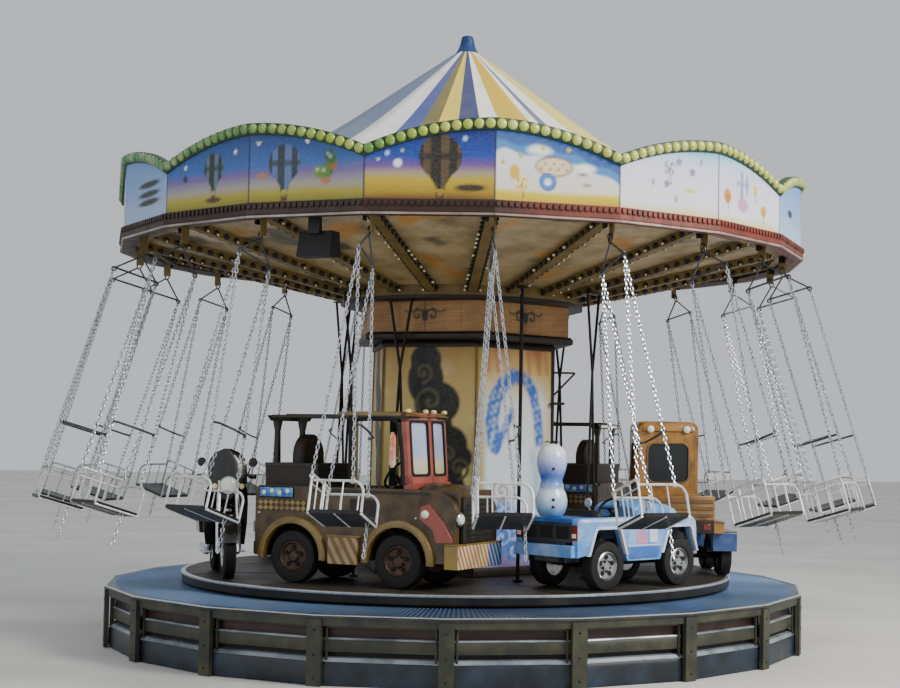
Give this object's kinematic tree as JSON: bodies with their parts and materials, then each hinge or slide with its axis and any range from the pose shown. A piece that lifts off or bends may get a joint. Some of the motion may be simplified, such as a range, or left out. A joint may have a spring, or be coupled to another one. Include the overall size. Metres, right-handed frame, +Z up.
{
  "type": "carousel with swing chairs",
  "caption": "Fairground carousel with a turning platform of toy vehicles and chain-hung chairs flying out from a round scalloped crown under a striped tent roof.",
  "frame": {"origin": "on the ground at the centre of the base", "axes": "+Z up; -Y faces the viewer in front of the first chair; chairs are numbered from -Y towards +X"},
  "size_m": [6.7068, 6.7068, 4.961],
  "materials": {
    "deck_plate": "ribbed plate",
    "frame_paint": "worn satin",
    "slat_paint": "worn satin",
    "platform_plate": "worn plate",
    "column_panel": "painted panel",
    "drum_panel": "varnished",
    "arm_paint": "satin",
    "ceiling_panel": "varnished",
    "cornice_paint": "satin",
    "board_paint": "painted board",
    "trim_paint": "satin",
    "galvanised_steel": "galvanised",
    "tent_canvas": "coated cloth",
    "cap_paint": "satin",
    "rod_steel": "satin",
    "truck_paint": "worn gloss",
    "truck_cab_paint": "worn gloss",
    "open_car_paint": "gloss",
    "lorry_paint": "worn gloss",
    "bike_paint": "gloss",
    "speaker_black": "matt",
    "toy_tyre": "matt",
    "figure_paint": "gloss"
  },
  "bodies": {
    "base": {"base_deck": "deck_plate", "base_frame": "frame_paint", "base_slats": "slat_paint"},
    "rotor": {"ceiling": "ceiling_panel", "centre_column": "column_panel", "centre_drum": "drum_panel", "cornice": "cornice_paint", "crown_trim": "trim_paint", "lorry_body": "lorry_paint", "lorry_cab": "lorry_paint", "lorry_wheels": "toy_tyre", "loudspeaker": "speaker_black", "mast": "galvanised_steel", "motorcycle": "bike_paint", "open_car_body": "open_car_paint", "open_car_body_rear": "open_car_paint", "open_car_wheels": "toy_tyre", "open_car_wheels_rear": "toy_tyre", "platform": "platform_plate", "platform_pole": "rod_steel", "rounding_board_1": "board_paint", "rounding_board_2": "board_paint", "rounding_board_3": "board_paint", "rounding_board_4": "board_paint", "rounding_board_5": "board_paint", "snow_figure": "figure_paint", "sweep_arms": "arm_paint", "tent_cap": "cap_paint", "tent_cover": "tent_canvas", "tie_rods_1": "rod_steel", "tie_rods_2": "rod_steel", "tie_rods_3": "rod_steel", "tie_rods_4": "rod_steel", "tie_rods_5": "rod_steel", "tow_truck_body": "truck_paint", "tow_truck_body_rear": "truck_paint", "tow_truck_roof": "truck_cab_paint", "tow_truck_roof_rear": "truck_cab_paint", "tow_truck_wheels": "toy_tyre", "tow_truck_wheels_rear": "toy_tyre"},
    "chair_01": {"swing_chair_01": "galvanised_steel"},
    "chair_02": {"swing_chair_02": "galvanised_steel"},
    "chair_03": {"swing_chair_03": "galvanised_steel"},
    "chair_04": {"swing_chair_04": "galvanised_steel"},
    "chair_05": {"swing_chair_05": "galvanised_steel"},
    "chair_06": {"swing_chair_06": "galvanised_steel"},
    "chair_07": {"swing_chair_07": "galvanised_steel"},
    "chair_08": {"swing_chair_08": "galvanised_steel"},
    "chair_09": {"swing_chair_09": "galvanised_steel"},
    "chair_10": {"swing_chair_10": "galvanised_steel"},
    "chair_11": {"swing_chair_11": "galvanised_steel"},
    "chair_12": {"swing_chair_12": "galvanised_steel"},
    "chair_13": {"swing_chair_13": "galvanised_steel"},
    "chair_14": {"swing_chair_14": "galvanised_steel"},
    "chair_15": {"swing_chair_15": "galvanised_steel"},
    "chair_16": {"swing_chair_16": "galvanised_steel"},
    "chair_17": {"swing_chair_17": "galvanised_steel"},
    "chair_18": {"swing_chair_18": "galvanised_steel"},
    "chair_19": {"swing_chair_19": "galvanised_steel"},
    "chair_20": {"swing_chair_20": "galvanised_steel"}
  },
  "joints": [
    {"name": "rotor_turn", "type": "hinge", "parent": "base", "child": "rotor", "pos_m": [0, 0, 0.55], "axis": [0, 0, 1], "continuous": true},
    {"name": "chair_01_swing", "type": "hinge", "parent": "rotor", "child": "chair_01", "pos_m": [0, -2.606, 2.99], "axis": [-1, 0, 0], "range_deg": [-20, 12]},
    {"name": "chair_02_swing", "type": "hinge", "parent": "rotor", "child": "chair_02", "pos_m": [0.8053, -2.47845, 2.99], "axis": [-0.9511, -0.309, 0], "range_deg": [-20, 12]},
    {"name": "chair_03_swing", "type": "hinge", "parent": "rotor", "child": "chair_03", "pos_m": [1.53177, -2.1083, 2.99], "axis": [-0.809, -0.5878, 0], "range_deg": [-20, 12]},
    {"name": "chair_04_swing", "type": "hinge", "parent": "rotor", "child": "chair_04", "pos_m": [2.1083, -1.53177, 2.99], "axis": [-0.5878, -0.809, 0], "range_deg": [-20, 12]},
    {"name": "chair_05_swing", "type": "hinge", "parent": "rotor", "child": "chair_05", "pos_m": [2.47845, -0.8053, 2.99], "axis": [-0.309, -0.9511, 0], "range_deg": [-20, 12]},
    {"name": "chair_06_swing", "type": "hinge", "parent": "rotor", "child": "chair_06", "pos_m": [2.606, 0, 2.99], "axis": [0, -1, 0], "range_deg": [-20, 12]},
    {"name": "chair_07_swing", "type": "hinge", "parent": "rotor", "child": "chair_07", "pos_m": [2.47845, 0.8053, 2.99], "axis": [0.309, -0.9511, 0], "range_deg": [-20, 12]},
    {"name": "chair_08_swing", "type": "hinge", "parent": "rotor", "child": "chair_08", "pos_m": [2.1083, 1.53177, 2.99], "axis": [0.5878, -0.809, 0], "range_deg": [-20, 12]},
    {"name": "chair_09_swing", "type": "hinge", "parent": "rotor", "child": "chair_09", "pos_m": [1.53177, 2.1083, 2.99], "axis": [0.809, -0.5878, 0], "range_deg": [-20, 12]},
    {"name": "chair_10_swing", "type": "hinge", "parent": "rotor", "child": "chair_10", "pos_m": [0.8053, 2.47845, 2.99], "axis": [0.9511, -0.309, 0], "range_deg": [-20, 12]},
    {"name": "chair_11_swing", "type": "hinge", "parent": "rotor", "child": "chair_11", "pos_m": [0, 2.606, 2.99], "axis": [1, 0, 0], "range_deg": [-20, 12]},
    {"name": "chair_12_swing", "type": "hinge", "parent": "rotor", "child": "chair_12", "pos_m": [-0.8053, 2.47845, 2.99], "axis": [0.9511, 0.309, 0], "range_deg": [-20, 12]},
    {"name": "chair_13_swing", "type": "hinge", "parent": "rotor", "child": "chair_13", "pos_m": [-1.53177, 2.1083, 2.99], "axis": [0.809, 0.5878, 0], "range_deg": [-20, 12]},
    {"name": "chair_14_swing", "type": "hinge", "parent": "rotor", "child": "chair_14", "pos_m": [-2.1083, 1.53177, 2.99], "axis": [0.5878, 0.809, 0], "range_deg": [-20, 12]},
    {"name": "chair_15_swing", "type": "hinge", "parent": "rotor", "child": "chair_15", "pos_m": [-2.47845, 0.8053, 2.99], "axis": [0.309, 0.9511, 0], "range_deg": [-20, 12]},
    {"name": "chair_16_swing", "type": "hinge", "parent": "rotor", "child": "chair_16", "pos_m": [-2.606, 0, 2.99], "axis": [0, 1, 0], "range_deg": [-20, 12]},
    {"name": "chair_17_swing", "type": "hinge", "parent": "rotor", "child": "chair_17", "pos_m": [-2.47845, -0.8053, 2.99], "axis": [-0.309, 0.9511, 0], "range_deg": [-20, 12]},
    {"name": "chair_18_swing", "type": "hinge", "parent": "rotor", "child": "chair_18", "pos_m": [-2.1083, -1.53177, 2.99], "axis": [-0.5878, 0.809, 0], "range_deg": [-20, 12]},
    {"name": "chair_19_swing", "type": "hinge", "parent": "rotor", "child": "chair_19", "pos_m": [-1.53177, -2.1083, 2.99], "axis": [-0.809, 0.5878, 0], "range_deg": [-20, 12]},
    {"name": "chair_20_swing", "type": "hinge", "parent": "rotor", "child": "chair_20", "pos_m": [-0.8053, -2.47845, 2.99], "axis": [-0.9511, 0.309, 0], "range_deg": [-20, 12]}
  ]
}
